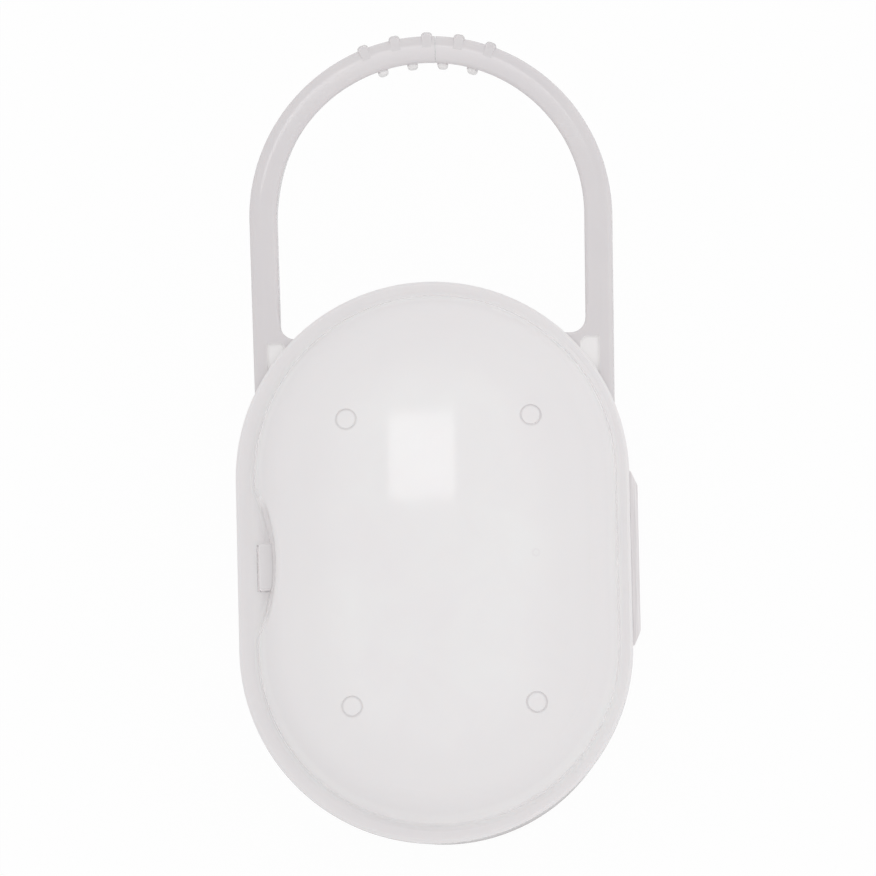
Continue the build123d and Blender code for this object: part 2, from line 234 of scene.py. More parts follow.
@dataclass(frozen=True)
class MouldedPolypropylene:
    """Natural polypropylene from a polished mould: light sinks into it, and its skin has a waxy gloss.

    Faint clouds come from uneven cooling, and handling leaves a haze. All but the polished lid have shallow
    ripples and a fine grain from the mould. Its colour also carries painted shade on steep walls, rings of
    painted shade and lightening, and a painted glow.
    """

    name: str
    colour: str
    cloud_colour: str
    milkiness: float = 0.3
    spread_mm: float = 0.9
    roughness_low: float = 0.05
    roughness_high: float = 0.09
    cloud_mm: float = 16.0
    haze_mm: float = 6.4
    ripple_mm: float = 6.0
    ripple_height_mm: float = 0.003
    grain_mm: float = 0.4
    grain_height_mm: float = 0.00015
    # painted shade: steep walls are darkened to the first tone, walls facing -Y to the second, between the
    # two Z limits
    steep_shade_tone: float = 0.96
    near_side_shade_tone: float = 1.0
    steep_shade_from: float = 0.1
    steep_shade_full: float = 0.9
    rippled: bool = True
    # rings of painted shade and painted lightening, and moulded marks
    shade_rings_and_marks: tuple[PaintedShadeAndMark, ...] = ()
    # painted glow: emission in a box
    glow: PaintedGlow | None = None

    def material(self) -> bpy.types.Material:
        """Builds the node tree of the finish.

        Returns:
            The material.
        """
        made = bpy.data.materials.new(self.name)
        made.use_nodes = True
        tree = made.node_tree
        shader = tree.nodes["Principled BSDF"]
        shader.inputs["IOR"].default_value = POLYPROPYLENE_IOR
        shader.inputs["Subsurface Weight"].default_value = self.milkiness
        shader.inputs["Subsurface Radius"].default_value = POLYPROPYLENE_REACH
        shader.inputs["Subsurface Scale"].default_value = self.spread_mm * MM
        # painted glow: emission colour, whose strength comes from the glow's box
        shader.inputs["Emission Color"].default_value = linear(PAINTED_GLOW_COLOUR)
        shader.inputs["Emission Strength"].default_value = 0.0
        own = add_node(tree, "ShaderNodeTexCoord").outputs
        place, normal = own["Object"], own["Normal"]
        # colour: clouds with rings of painted shade and the gate mark, then painted shade on steep walls
        tree.links.new(self.painted_steep_shade(tree, self.clouds(tree, place), normal), shader.inputs["Base Color"])
        tree.links.new(self.handling(tree, place), shader.inputs["Roughness"])
        if self.rippled:
            tree.links.new(self.skin(tree, place), shader.inputs["Normal"])
        # painted light: emission where a glow box is given
        if self.glow is not None:
            tree.links.new(self.lit(tree, place, normal, self.glow), shader.inputs["Emission Strength"])
        return made

    def lit(self, tree: Tree, place: Socket, normal: Socket, glow: PaintedGlow) -> Socket:
        """Paints light as emission strength inside the glow's box, on thin walls and in dark gaps.

        Args:
            tree: the material's tree.
            place: Object coordinates.
            normal: the piece's own normal.
            glow: the box, the strength and the steep faces of the painted glow.

        Returns:
            The strength's output.
        """
        middle = tuple(value * MM for value in glow.middle_mm)
        reach = tuple(2 / (size * MM) for size in glow.size_mm)
        centred = add_node(tree, "ShaderNodeVectorMath", {"operation": "SUBTRACT", 1: middle}, {0: place})
        scaled = add_node(
            tree, "ShaderNodeVectorMath", {"operation": "MULTIPLY", 1: reach}, {0: centred.outputs[0]}
        )
        apart = add_node(tree, "ShaderNodeSeparateXYZ", links={0: scaled.outputs[0]}).outputs
        across, along, up = (abs(Field(apart[axis])) for axis in "XYZ")
        within = across.worked("MAXIMUM", along).worked("MAXIMUM", up) < 1.0
        facing = add_node(tree, "ShaderNodeSeparateXYZ", links={0: normal}).outputs["Z"]
        steep = add_node(
            tree,
            "ShaderNodeMapRange",
            {
                "interpolation_type": "SMOOTHSTEP",
                "From Min": glow.steep_z,
                "From Max": glow.level_z,
                "To Min": glow.strength,
                "To Max": 0.0 if glow.steep_only else glow.strength,
            },
            {"Value": abs(Field(facing))},
        )
        return (within * steep.outputs["Result"]).socket

    def painted_steep_shade(self, tree: Tree, colour: Socket, normal: Socket) -> Socket:
        """Paints shade on the steep walls, darkening their colour by the Z of their normal.

        Walls that face -Y, away from the hanger, can have a painted shade of their own.

        Args:
            tree: the material's tree.
            colour: the colour of level faces.
            normal: the piece's own normal.

        Returns:
            The colour's output.
        """
        apart = add_node(tree, "ShaderNodeSeparateXYZ", links={0: normal}).outputs
        steepest = add_node(
            tree,
            "ShaderNodeMapRange",
            {"From Max": -1.0, "To Min": self.steep_shade_tone, "To Max": self.near_side_shade_tone},
            {"Value": apart["Y"]},
        )
        tone = add_node(
            tree,
            "ShaderNodeMapRange",
            {"interpolation_type": "SMOOTHSTEP", "From Min": self.steep_shade_from, "From Max": self.steep_shade_full},
            {"Value": abs(Field(apart["Z"])), "To Min": steepest.outputs["Result"]},
        )
        toned = add_node(
            tree, "ShaderNodeVectorMath", {"operation": "SCALE"}, {0: colour, "Scale": tone.outputs["Result"]}
        )
        return toned.outputs["Vector"]

    def clouds(self, tree: Tree, place: Socket) -> Socket:
        """Drifts the colour slowly between its two tones, and lays over it the rings of painted shade and
        lightening, and the gate mark.

        Args:
            tree: the material's tree.
            place: Object coordinates.

        Returns:
            The colour's output.
        """
        noise = add_node(
            tree,
            "ShaderNodeTexNoise",
            {"Scale": 1 / (self.cloud_mm * MM), "Detail": 3.0, "Roughness": 0.55, "Distortion": 0.4},
            {"Vector": place},
        )
        ramp = add_node(tree, "ShaderNodeValToRGB", links={"Fac": noise.outputs["Fac"]})
        tones = [(NOISE_LOW, linear(self.cloud_colour)), (NOISE_HIGH, linear(self.colour))]
        colour = set_stops(ramp, tones)
        # rings of painted shade and lightening, and the gate mark
        for edge in self.shade_rings_and_marks:
            mixed = add_node(
                tree,
                "ShaderNodeMix",
                {"data_type": "RGBA", "blend_type": "MIX", 7: linear(edge.colour)},
                {0: self.edgewise(tree, place, edge), 6: colour},
            )
            colour = mixed.outputs[2]
        return colour

    def edgewise(self, tree: Tree, place: Socket, edge: PaintedShadeAndMark) -> Field:
        """Finds how far a point is from the oblong's spine, and the share of the second colour there.

        Args:
            tree: the material's tree.
            place: Object coordinates.
            edge: the oblong.

        Returns:
            The share.
        """
        middle = tuple(value * MM for value in edge.centre_mm)
        centred = add_node(tree, "ShaderNodeVectorMath", {"operation": "SUBTRACT", 1: middle}, {0: place})
        half = edge.straight_mm / 2 * MM
        spine = centred
        for limit, operation in (((0.0, -half, -1.0), "MAXIMUM"), ((0.0, half, 1.0), "MINIMUM")):
            ends = {"operation": operation, 1: limit}
            spine = add_node(tree, "ShaderNodeVectorMath", ends, {0: spine.outputs[0]})
        between = {0: centred.outputs[0], 1: spine.outputs[0]}
        reach = add_node(tree, "ShaderNodeVectorMath", {"operation": "DISTANCE"}, between)
        furthest = edge.shares[-1][0]
        scaled = Field(reach.outputs["Value"]) * (1 / (furthest * MM))
        ramp = add_node(tree, "ShaderNodeValToRGB", links={"Fac": scaled})
        ramp.color_ramp.interpolation = "EASE"
        stops = [(distance / furthest, (share, share, share, 1.0)) for distance, share in edge.shares]
        share = Field(set_stops(ramp, stops))
        aside = add_node(tree, "ShaderNodeSeparateXYZ", links={0: centred.outputs[0]}).outputs["Y"]
        limit = edge.reach_y_mm * MM
        fading = add_node(
            tree,
            "ShaderNodeMapRange",
            {
                "interpolation_type": "SMOOTHSTEP",
                "From Min": edge.fading_share * limit,
                "From Max": limit,
                "To Min": 1.0,
                "To Max": 0.0,
            },
            {"Value": abs(Field(aside))},
        )
        return share * fading.outputs["Result"]

    def handling(self, tree: Tree, place: Socket) -> Socket:
        """Breaks the gloss with the fine haze that fingers and washing leave.

        Args:
            tree: the material's tree.
            place: Object coordinates.

        Returns:
            The roughness output.
        """
        haze = add_node(
            tree,
            "ShaderNodeTexNoise",
            {"Scale": 1 / (self.haze_mm * MM), "Detail": 5.0, "Roughness": 0.65},
            {"Vector": place},
        )
        spread = add_node(
            tree,
            "ShaderNodeMapRange",
            {
                "From Min": NOISE_LOW,
                "From Max": NOISE_HIGH,
                "To Min": self.roughness_low,
                "To Max": self.roughness_high,
            },
            {"Value": haze.outputs["Fac"]},
        )
        return spread.outputs["Result"]

    def skin(self, tree: Tree, place: Socket) -> Socket:
        """Gives the surface its slow ripples and its fine grain.

        Args:
            tree: the material's tree.
            place: Object coordinates.

        Returns:
            The normal output.
        """
        ripples = (self.ripple_mm, self.ripple_height_mm)
        grain = (self.grain_mm, self.grain_height_mm)
        below = {}
        for spacing, height in (ripples, grain):
            noise = add_node(
                tree, "ShaderNodeTexNoise", {"Scale": 1 / (spacing * MM), "Detail": 1.0}, {"Vector": place}
            )
            settings = {"Strength": 1.0, "Distance": height * MM}
            bump = add_node(tree, "ShaderNodeBump", settings, {"Height": noise.outputs["Fac"], **below})
            below = {"Normal": bump.outputs["Normal"]}
        return bump.outputs["Normal"]


@dataclass(frozen=True)
class CreasedPolypropylene:
    """Polypropylene film of a living hinge: thin, and streaked along the fold where bending whitens it."""

    name: str
    colour: str
    streak_colour: str
    roughness: float = 0.3
    milkiness: float = 0.2
    spread_mm: float = 0.4
    streak_mm: float = 0.22
    streak_length_mm: float = 9.0
    streak_height_mm: float = 0.01
    streak_span: tuple[float, float] = (0.35, 0.65)

    def material(self) -> bpy.types.Material:
        """Builds the node tree of the finish.

        Returns:
            The material.
        """
        made = bpy.data.materials.new(self.name)
        made.use_nodes = True
        tree = made.node_tree
        shader = tree.nodes["Principled BSDF"]
        shader.inputs["IOR"].default_value = POLYPROPYLENE_IOR
        shader.inputs["Roughness"].default_value = self.roughness
        shader.inputs["Subsurface Weight"].default_value = self.milkiness
        shader.inputs["Subsurface Radius"].default_value = POLYPROPYLENE_REACH
        shader.inputs["Subsurface Scale"].default_value = self.spread_mm * MM
        place = add_node(tree, "ShaderNodeTexCoord").outputs["Object"]
        across, along = 1 / (self.streak_mm * MM), 1 / (self.streak_length_mm * MM)
        stretched = add_node(tree, "ShaderNodeMapping", {"Scale": (across, along, across)}, {"Vector": place})
        streaks = add_node(
            tree, "ShaderNodeTexNoise", {"Scale": 1.0, "Detail": 2.0}, {"Vector": stretched.outputs["Vector"]}
        ).outputs["Fac"]
        ramp = add_node(tree, "ShaderNodeValToRGB", links={"Fac": streaks})
        tones = list(zip(self.streak_span, (linear(self.colour), linear(self.streak_colour))))
        tree.links.new(set_stops(ramp, tones), shader.inputs["Base Color"])
        height = {"Strength": 1.0, "Distance": self.streak_height_mm * MM}
        bump = add_node(tree, "ShaderNodeBump", height, {"Height": streaks})
        tree.links.new(bump.outputs["Normal"], shader.inputs["Normal"])
        return made


@dataclass(frozen=True)
class BackdropPaper:
    """Matt white backdrop paper that shows as plain white behind the case and takes its shadow."""

    name: str
    colour: str
    roughness: float = 0.9
    shine: float = 0.96

    def material(self) -> bpy.types.Material:
        """Builds the node tree of the paper.

        Returns:
            The material.
        """
        made = bpy.data.materials.new(self.name)
        made.use_nodes = True
        tree = made.node_tree
        paper = tree.nodes["Principled BSDF"]
        paper.inputs["Base Color"].default_value = linear(self.colour)
        paper.inputs["Roughness"].default_value = self.roughness
        share = Field(add_node(tree, "ShaderNodeLightPath").outputs["Is Camera Ray"]) * self.shine
        white = add_node(tree, "ShaderNodeEmission", {"Strength": 1.0})
        both = {0: share, 1: paper.outputs["BSDF"], 2: white.outputs["Emission"]}
        mixed = add_node(tree, "ShaderNodeMixShader", links=both)
        tree.links.new(mixed.outputs["Shader"], tree.nodes["Material Output"].inputs["Surface"])
        return made


class ShapeTree:
    """A Geometry Nodes tree with named inputs, which ends in Realize Instances and Set Material."""

    def __init__(self, name: str) -> None:
        """Starts an empty tree.

        Args:
            name: the tree's name.
        """
        self.tree = bpy.data.node_groups.new(name, "GeometryNodeTree")
        self.tree.interface.new_socket("Geometry", in_out="INPUT", socket_type="NodeSocketGeometry")
        self.tree.interface.new_socket("Geometry", in_out="OUTPUT", socket_type="NodeSocketGeometry")
        self.source = self.tree.nodes.new("NodeGroupInput")
        self.values: dict[str, object] = {}

    def input(self, name: str, value: object, kind: str = "Float") -> Field:
        """Adds a named input with its value.

        Args:
            name: the input's name.
            value: what the modifier gives it.
            kind: Float, Int or Object.

        Returns:
            The field that carries the value in the tree.
        """
        item = self.tree.interface.new_socket(name, in_out="INPUT", socket_type=f"NodeSocket{kind}")
        self.values[item.identifier] = value
        return Field(self.source.outputs[name])

    def add(
        self,
        kind: str,
        settings: dict[str | int, object] | None = None,
        links: dict[str | int, object] | None = None,
    ) -> bpy.types.Node:
        """Adds a node of the given kind, as add_node does."""
        return add_node(self.tree, kind, settings, links)

    def finish(
        self,
        geometry: Socket,
        material: bpy.types.Material,
        others: list[tuple[bpy.types.Material, Field]] | None = None,
    ) -> None:
        """Closes the tree.

        Args:
            geometry: the finished shape.
            material: what it is made of.
            others: finishes of some faces, each with the faces that get it.
        """
        shape = self.add("GeometryNodeRealizeInstances", links={"Geometry": geometry})
        shape = self.add("GeometryNodeSetMaterial", {"Material": material}, {"Geometry": shape.outputs[0]})
        for other, where in others or []:
            faces = {"Geometry": shape.outputs[0], "Selection": where}
            shape = self.add("GeometryNodeSetMaterial", {"Material": other}, faces)
        self.add("NodeGroupOutput", links={0: shape.outputs[0]})

    def plain(self, name: str, line: list[Vector], crease_degrees: float) -> bpy.types.Object:
        """Runs the tree along a line and keeps the result as a plain mesh.

        Args:
            name: the new piece's name.
            line: the points that the tree starts from, in millimetres.
            crease_degrees: edges sharper than this stay crisp.

        Returns:
            The finished piece.
        """
        start = bpy.data.meshes.new(f"{name}_line")
        start.from_pydata([point * MM for point in line], [(n, n + 1) for n in range(len(line) - 1)], [])
        maker = link_object(f"{name}_maker", start)
        modifier = maker.modifiers.new("shape", "NODES")
        modifier.node_group = self.tree
        for identifier, value in self.values.items():
            modifier[identifier] = value
        graph = bpy.context.evaluated_depsgraph_get()
        shape = bpy.data.meshes.new_from_object(maker.evaluated_get(graph), depsgraph=graph)
        maker.modifiers.remove(modifier)
        bpy.data.objects.remove(maker)
        bpy.data.meshes.remove(start)
        shape.name = name
        piece = link_object(name, shape)
        smooth(piece, crease_degrees)
        return piece


def smooth(piece: bpy.types.Object, crease_degrees: float) -> None:
    """Shades a piece smooth between its creases, with flat faces kept flat.

    Args:
        piece: the piece, whose mesh is replaced.
        crease_degrees: edges sharper than this stay crisp.
    """
    mesh = piece.data
    mesh.polygons.foreach_set("use_smooth", [True] * len(mesh.polygons))
    mesh.set_sharp_from_angle(angle=math.radians(crease_degrees))
    weighted = piece.modifiers.new("normals", "WEIGHTED_NORMAL")
    weighted.keep_sharp = True
    graph = bpy.context.evaluated_depsgraph_get()
    shaded = bpy.data.meshes.new_from_object(piece.evaluated_get(graph), depsgraph=graph)
    piece.modifiers.remove(weighted)
    piece.data = shaded
    bpy.data.meshes.remove(mesh)
    shaded.name = piece.name


def prism(name: str, plan: list[Vector], low: float, high: float) -> bpy.types.Object:
    """Makes an upright solid from its plan, as a helper for cutting and joining.

    Args:
        name: the helper's name.
        plan: the corners in millimetres, in order either way round.
        low: the level of its bottom.
        high: the level of its top.

    Returns:
        The helper, which the caller removes.
    """
    work = bmesh.new()
    bottom = work.faces.new([work.verts.new((x * MM, y * MM, low * MM)) for x, y, _ in plan])
    raised = bmesh.ops.extrude_face_region(work, geom=[bottom])["geom"]
    corners = [part for part in raised if isinstance(part, bmesh.types.BMVert)]
    bmesh.ops.translate(work, verts=corners, vec=(0, 0, (high - low) * MM))
    bmesh.ops.recalc_face_normals(work, faces=work.faces)
    mesh = bpy.data.meshes.new(name)
    work.to_mesh(mesh)
    work.free()
    return link_object(name, mesh)


def soften(
    solid: bpy.types.Object, picked: Callable[[list[Vector]], bool], size: float, segments: int
) -> None:
    """Rounds some edges of a helper.

    Args:
        solid: the helper.
        picked: says from an edge's two ends in millimetres whether it is rounded.
        size: how far the rounding reaches from the edge.
        segments: how many facets it has.
    """
    work = bmesh.new()
    work.from_mesh(solid.data)
    edges = [edge for edge in work.edges if picked([vert.co / MM for vert in edge.verts])]
    bmesh.ops.bevel(work, geom=edges, offset=size * MM, segments=segments, profile=0.5, affect="EDGES")
    work.to_mesh(solid.data)
    work.free()


@dataclass
class Hanger:
    """The split carrying hoop: a rounded bar on two arms with webbed feet and grip ribs round its top.

    Sizes are in millimetres and degrees. It is a sleeve over the solid's own arms, so it is a hair larger
    all round.
    """

    material: bpy.types.Material
    # painted shade: the outer ribs wear a darker copy of the polypropylene
    rib_material: bpy.types.Material
    # painted light: the pocket web and the inner ribs wear a lighter copy of it
    web_material: bpy.types.Material
    centre_x: float = 0.62
    centre_y: float = 62.7
    middle_z: float = 29.75
    middle_radius: float = 30.0
    width: float = 4.9
    thickness: float = 6.5
    outer_round: float = 1.0
    inner_round: float = 0.8
    crown_reach: float = 2.2
    crown_radius: float = 9.0
    hoop_draft: float = 7.0
    draft_start_y: float = 66.0
    draft_full_y: float = 84.0
    sleeve: float = 0.02
    lean: float = 0.6
    foot_end_y: float = 22.0
    seam_x: float = 2.12
    seam_gap: float = 0.12
    arm_step: float = 1.0
    hoop_step: float = 1.5
    outer_ribs: int = 5
    outer_rib_pitch: float = 10.35
    outer_rib_width: float = 2.0
    outer_rib_proud: float = 0.65
    outer_rib_face_proud: float = 0.05
    outer_rib_reach: float = 2.4
    inner_ribs: int = 4
    inner_rib_pitch: float = 11.2
    inner_rib_width: float = 1.9
    inner_rib_proud: float = 0.6
    inner_rib_length: float = 3.4
    rib_sink: float = 1.0
    rib_tip_round: float = 0.7
    rib_edge_break: float = 0.3
    rib_steps: int = 12
    rib_split_x: float = 0.5
    shelf_y: float = 41.0
    web_reach: float = 9.5
    web_fillet: float = 2.6
    web_break: float = 0.5
    leg_width: float = 2.45
    rim_radius: float = 35.0
    rim_centre_y: float = 15.35
    pocket_wall: float = 0.7
    pocket_width: float = 3.5
    pocket_corner: float = 0.9
    pocket_depth: float = 0.45
    pocket_round: float = 0.42
    web: float = 1.95
    bend_start_y: float = 47.5
    bend_end_y: float = 62.0
    fillet_steps: int = 8
    overlap: float = 0.5
    cutter_margin: float = 1.0
    cutter_reach: float = 20.0
    crease: float = 38.0

    @property
    def bottom(self) -> float:
        """The level of the bar's underside."""
        return self.middle_z - self.thickness / 2

    @property
    def top(self) -> float:
        """The level of the bar's upper face."""
        return self.middle_z + self.thickness / 2

    @property
    def leg_inside(self) -> float:
        """How far the inner side of a foot's leg stands from the hanger's centre line."""
        return self.arm_side(self.middle_radius + self.width / 2, self.shelf_y) - self.leg_width

    def build(self) -> None:
        """Makes both halves in place of the solid's own arms."""
        for side in Side:
            half = self.half(side)
            body = f"hanger_{side.name.lower()}"
            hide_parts(f"hanger_arm_{side.name.lower()}")
            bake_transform(half)
            LOG.info("%s bends between base and %s", half.name, body)

    def arm_side(self, radius: float, y: float) -> float:
        """How far an arm's side stands from the hanger's centre line at a level of Y."""
        tilt = math.radians(self.lean)
        return (radius + (y - self.centre_y) * math.sin(tilt)) / math.cos(tilt)

    def line(self, side: Side) -> list[Vector]:
        """Follows the middle of the bar so that the outside of the hoop is on the right.

        Args:
            side: which half.

        Returns:
            Points from the right foot to past the seam, or from before the seam to the left foot.
        """
        tilt = math.radians(self.lean)
        foot_x = self.arm_side(self.middle_radius, self.foot_end_y)
        foot = Vector((foot_x, self.foot_end_y - self.centre_y, 0))
        spring = Vector((math.cos(tilt), -math.sin(tilt), 0)) * self.middle_radius
        steps = round((spring - foot).length / self.arm_step)
        arm = [foot.lerp(spring, step / steps) for step in range(steps)]
        seam = math.acos(side.value * (self.seam_x - self.centre_x) / self.middle_radius)
        sweep = seam + tilt + math.radians(self.hoop_step)
        turns = math.ceil(sweep / math.radians(self.hoop_step))
        hoop = [
            Vector((math.cos(angle), math.sin(angle), 0)) * self.middle_radius
            for angle in (sweep * turn / turns - tilt for turn in range(turns + 1))
        ]
        points = [Vector((side.value * p.x, p.y, 0)) for p in arm + hoop]
        shift = Vector((self.centre_x, self.centre_y, self.middle_z))
        ordered = points if side is Side.RIGHT else points[::-1]
        return [point + shift for point in ordered]

    def mirrored(self, points: list[tuple[float, float]], side: Side) -> list[Vector]:
        """Puts a plan given from the hanger's centre line onto one side."""
        return [Vector((self.centre_x + side.value * x, y, 0)) for x, y in points]

    def foot(self, side: Side) -> bpy.types.Object:
        """Makes the web that widens an arm down to the rim, with a fillet and softened edges.

        Args:
            side: which half.

        Returns:
            The web as a helper object.
        """
        inner = self.arm_side(self.middle_radius - self.width / 2, self.shelf_y) - self.sleeve
        outer = self.leg_inside
        near = self.middle_radius - self.width / 2 - self.web_reach
        shelf = self.shelf_y + self.sleeve
        middle = (inner - self.web_fillet, shelf + self.web_fillet)
        turns = (math.radians(-90 + 90 * step / self.fillet_steps) for step in range(self.fillet_steps + 1))
        corner = [
            (middle[0] + self.web_fillet * math.cos(turn), middle[1] + self.web_fillet * math.sin(turn))
            for turn in turns
        ]
        top = self.shelf_y + 2 * self.web_fillet
        plan = [(near, shelf), *corner, (inner + self.overlap, top), (outer, top), (outer, self.foot_end_y)]
        plan.append((near, self.foot_end_y))
        low, high = self.bottom - self.sleeve, self.top + self.sleeve
        web = prism(f"foot_{side.name.lower()}", self.mirrored(plan, side), low, high)
        reach = self.shelf_y - 0.5 * self.web_fillet

        def open_to_view(ends: list[Vector]) -> bool:
            """Whether an edge is level and runs round the fillet or the shelf."""
            level = abs(ends[0].z - ends[1].z) < HAIR
            past = min(end.y for end in ends) > reach
            return level and past and max(abs(end.x - self.centre_x) for end in ends) < inner + self.sleeve

        soften(web, open_to_view, self.web_break, 3)
        return web

    def pockets(self, side: Side) -> list[bpy.types.Object]:
        """Makes the cutters for a foot's relief outside the rim, above and below its thin web.

        Args:
            side: which half.

        Returns:
            The upper and the lower cutter as helper objects.
        """
        outer = self.leg_inside - self.sleeve
        inner = outer - self.pocket_width + 2 * self.sleeve
        top = self.shelf_y - self.pocket_wall - self.sleeve
        rim, steps = self.rim_radius + self.sleeve, self.fillet_steps
        edge = [
            (x, self.rim_centre_y + math.sqrt(rim**2 - (self.centre_x + side.value * x) ** 2))
            for x in (inner + (outer - inner) * step / steps for step in range(steps + 1))
        ]
        corner = self.pocket_corner
        plan = self.mirrored([*edge, (outer, top), (inner + corner, top), (inner, top - corner)], side)
        web_top = self.top - self.pocket_depth + self.sleeve
        web_low = self.top - self.pocket_depth - self.web - self.sleeve
        name = side.name.lower()
        upper = prism(f"pocket_top_{name}", plan, web_top, self.top + self.cutter_margin)
        soften(upper, lambda ends: max(end.z for end in ends) < web_top + HAIR, self.pocket_round, 6)
        return [upper, prism(f"pocket_low_{name}", plan, self.bottom - self.cutter_margin, web_low)]

    def beyond_seam(self, side: Side) -> bpy.types.Object:
        """Makes the cutter that trims a half at the seam."""
        cut = self.seam_x + side.value * self.seam_gap / 2
        far = cut - side.value * self.cutter_reach
        bottom, top = self.bottom - 2 * self.cutter_margin, self.top + 2 * self.cutter_margin
        low, high = self.centre_y + self.middle_radius / 2, self.centre_y + 2 * self.middle_radius
        plan = [Vector((x, y, 0)) for x, y in ((cut, low), (cut, high), (far, high), (far, low))]
        return prism(f"seam_{side.name.lower()}", plan, bottom, top)

    def section(self, name: str) -> bpy.types.Object:
        """Draws the bar's section: flat inside, and gently crowned towards its outer corners.

        Args:
            name: the half's name.

        Returns:
            The closed outline as a helper object.
        """
        side = self.width / 2 + self.sleeve
        face = self.thickness / 2 + self.sleeve
        crown = Vector((side - self.crown_reach, face - self.crown_radius, 0))
        corner_x = side - self.outer_round
        drop = math.sqrt((self.crown_radius - self.outer_round) ** 2 - (corner_x - crown.x) ** 2)
        corner = Vector((corner_x, crown.y + drop, 0))
        inside = Vector((-side + self.inner_round, face - self.inner_round, 0))
        meeting = math.degrees(math.atan2(corner.y - crown.y, corner.x - crown.x))
        rounds = (
            (corner, self.outer_round, 0.0, meeting),
            (crown, self.crown_radius, meeting, 90.0),
            (inside, self.inner_round, 90.0, 180.0),
        )
        upper = []
        for centre, radius, start, end in rounds:
            for step in range(self.fillet_steps + 1):
                turn = math.radians(start + (end - start) * step / self.fillet_steps)
                upper.append(centre + Vector((math.cos(turn), math.sin(turn), 0)) * radius)
        lower = [Vector((point.x, -point.y, 0)) for point in reversed(upper)]
        corners = [point * MM for point in upper + lower]
        mesh = bpy.data.meshes.new(f"section_{name}")
        mesh.from_pydata(corners, [(n, (n + 1) % len(corners)) for n in range(len(corners))], [])
        work = bmesh.new()
        work.from_mesh(mesh)
        bmesh.ops.remove_doubles(work, verts=work.verts, dist=0.001 * MM)
        work.to_mesh(mesh)
        work.free()
        return link_object(f"section_{name}", mesh)

    def rib(
        self, shape: ShapeTree, label: str, reach: float, width: float, length: float, tip: int
    ) -> Socket:
        """Makes one upright rib with a rounded tip and broken ends.

        Args:
            shape: the tree.
            label: what the ribs are called in the tree's inputs.
            reach: its size along the hoop's radius.
            width: its size round the hoop.
            length: its height.
            tip: 1 if its tip points outwards, -1 if inwards.

        Returns:
            The rib's mesh.
        """
        sizes = {
            "Width": shape.input(f"{label} reach", reach * MM),
            "Height": shape.input(f"{label} width", width * MM),
        }
        plan = shape.add("GeometryNodeCurvePrimitiveQuadrilateral", links=sizes)
        place = shape.add("GeometryNodeInputPosition").outputs[0]
        across = Field(shape.add("ShaderNodeSeparateXYZ", links={0: place}).outputs["X"])
        radius = (across * tip > 0.0) * shape.input(f"{label} tip round", self.rib_tip_round * MM)
        rounded = shape.add(
            "GeometryNodeFilletCurve",
            {"mode": "POLY", "Count": self.fillet_steps},
            {"Curve": plan.outputs["Curve"], "Radius": radius},
        )
        end = (0, 0, length / 2 * MM)
        start = (0, 0, -length / 2 * MM)
        upright = shape.add("GeometryNodeCurvePrimitiveLine", {"Start": start, "End": end})
        steps = self.rib_steps
        line = {"Curve": upright.outputs["Curve"]}
        stepped = shape.add("GeometryNodeResampleCurve", {"Count": steps + 1}, line)
        along = Field(shape.add("GeometryNodeSplineParameter").outputs["Factor"])
        shrink = shape.add(
            "ShaderNodeMapRange",
            {
                "From Min": 0.5 - 1 / steps,
                "From Max": 0.5,
                "To Min": 1.0,
                "To Max": 1 - 2 * self.rib_edge_break / reach,
            },
            {"Value": abs(along - 0.5)},
        ).outputs["Result"]
        narrowed = {"Curve": stepped.outputs["Curve"], "Radius": shrink}
        swept = shape.add(
            "GeometryNodeCurveToMesh",
            {"Fill Caps": True},
            {
                "Curve": shape.add("GeometryNodeSetCurveRadius", links=narrowed).outputs["Curve"],
                "Profile Curve": rounded.outputs["Curve"],
                "Scale": shrink,
            },
        )
        return swept.outputs["Mesh"]

    def row(
        self, shape: ShapeTree, label: str, rib: Socket, count: int, pitch: float, radius: float, side: Side
    ) -> Socket:
        """Sets ribs round the hoop's top, on one side of the seam.

        Args:
            shape: the tree.
            label: what the ribs are called in the tree's inputs.
            rib: the rib's mesh.
            count: how many there are on both halves.
            pitch: the angle between two of them.
            radius: where their middle stands.
            side: which half.

        Returns:
            The realized ribs.
        """
        number = Field(shape.add("GeometryNodeInputIndex").outputs["Index"])
        first = math.radians(90 - (count - 1) / 2 * pitch)
        angle = number * shape.input(f"{label} pitch", math.radians(pitch)) + first
        span = shape.input(f"{label} radius", radius * MM)
        x, y = angle.worked("COSINE") * span, angle.worked("SINE") * span
        place = shape.add(
            "ShaderNodeCombineXYZ",
            {"Z": self.middle_z * MM},
            {"X": x + self.centre_x * MM, "Y": y + self.centre_y * MM},
        )
        points = shape.add(
            "GeometryNodePoints",
            links={"Count": shape.input(f"{label} count", count, "Int"), "Position": place.outputs["Vector"]},
        )
        turn = shape.add("ShaderNodeCombineXYZ", links={"Z": angle})
        split = self.rib_split_x * MM
        placed = shape.add(
            "GeometryNodeInstanceOnPoints",
            links={
                "Points": points.outputs[0],
                "Selection": x > split if side is Side.RIGHT else x < split,
                "Instance": rib,
                "Rotation": turn.outputs["Vector"],
            },
        )
        return shape.add("GeometryNodeRealizeInstances", links={0: placed.outputs["Instances"]}).outputs[0]

    def from_centre(self, shape: ShapeTree) -> tuple[Socket, Socket, Field]:
        """Measures where a point lies from the hoop's centre.

        Args:
            shape: the tree.

        Returns:
            Its offset, the level part of that, and the length of the level part.
        """
        place = shape.add("GeometryNodeInputPosition").outputs[0]
        middle = (self.centre_x * MM, self.centre_y * MM, self.middle_z * MM)
        centre = {"operation": "SUBTRACT", 1: middle}
        offset = shape.add("ShaderNodeVectorMath", centre, {0: place}).outputs[0]
        flatten = {"operation": "MULTIPLY", 1: (1.0, 1.0, 0.0)}
        flat = shape.add("ShaderNodeVectorMath", flatten, {0: offset}).outputs[0]
        reach = shape.add("ShaderNodeVectorMath", {"operation": "LENGTH"}, {0: flat})
        return offset, flat, Field(reach.outputs["Value"])

